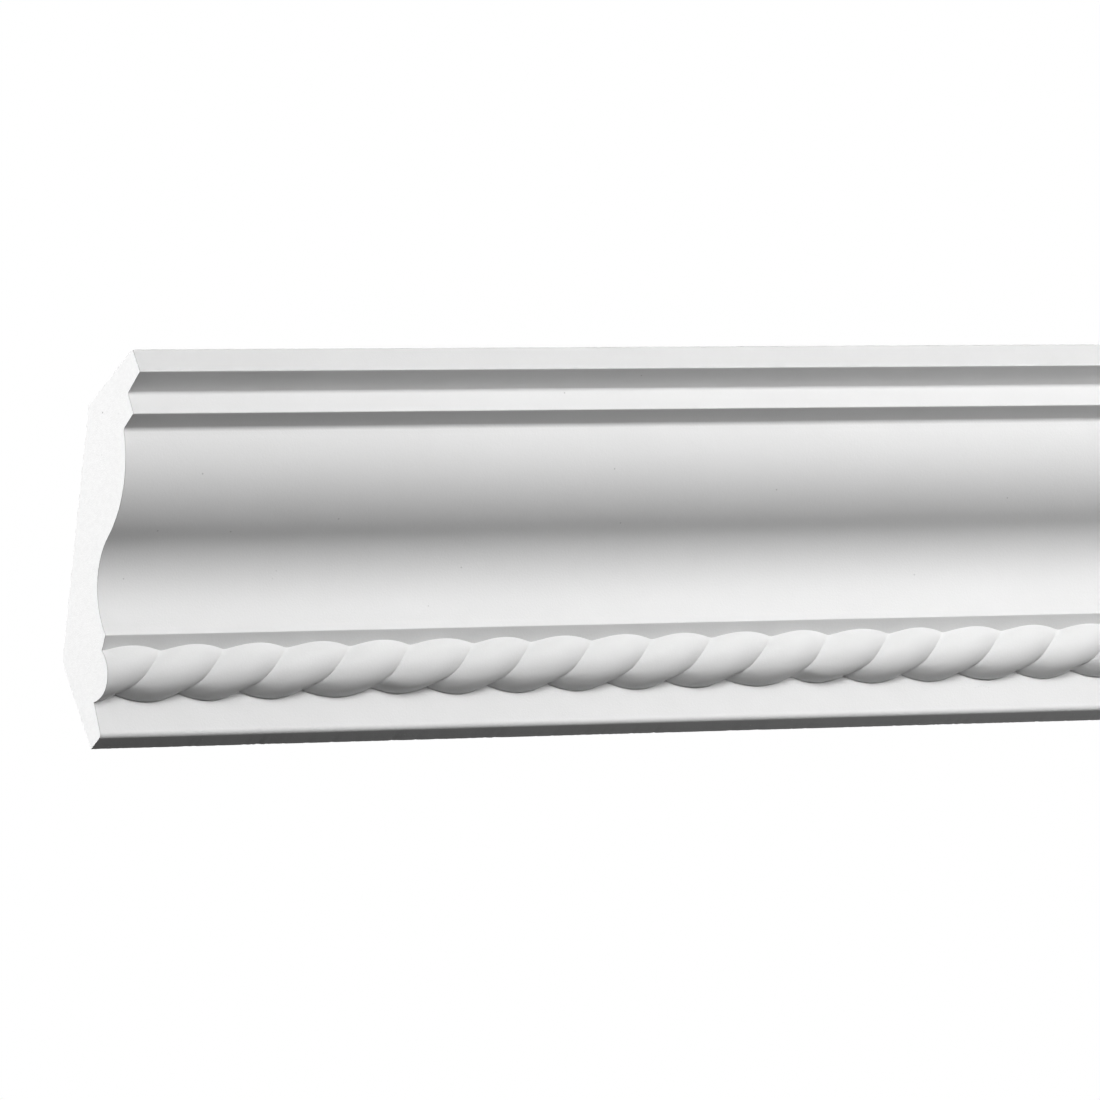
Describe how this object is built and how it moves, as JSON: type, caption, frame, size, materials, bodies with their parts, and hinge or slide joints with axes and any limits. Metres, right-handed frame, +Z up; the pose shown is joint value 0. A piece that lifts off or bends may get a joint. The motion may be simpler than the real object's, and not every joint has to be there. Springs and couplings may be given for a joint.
{
  "type": "crown moulding length",
  "caption": "Length of white primed crown moulding with a rope bead: square steps over a cyma, a bevelled band, a twisted rope and a plain lip, cut square at both ends.",
  "frame": {"origin": "centre of the flat bedding face that lies on the wall, halfway along the length", "axes": "+X along the moulding, -Y into the room, +Y into the wall, +Z up"},
  "size_m": [0.35, 0.0768, 0.0763],
  "materials": {
    "white_primer": "matte white factory primer on rigid foam, with the foam bare and finely pitted on the cut ends"
  },
  "bodies": {
    "root": {"crown_moulding": "white_primer"}
  },
  "joints": []
}
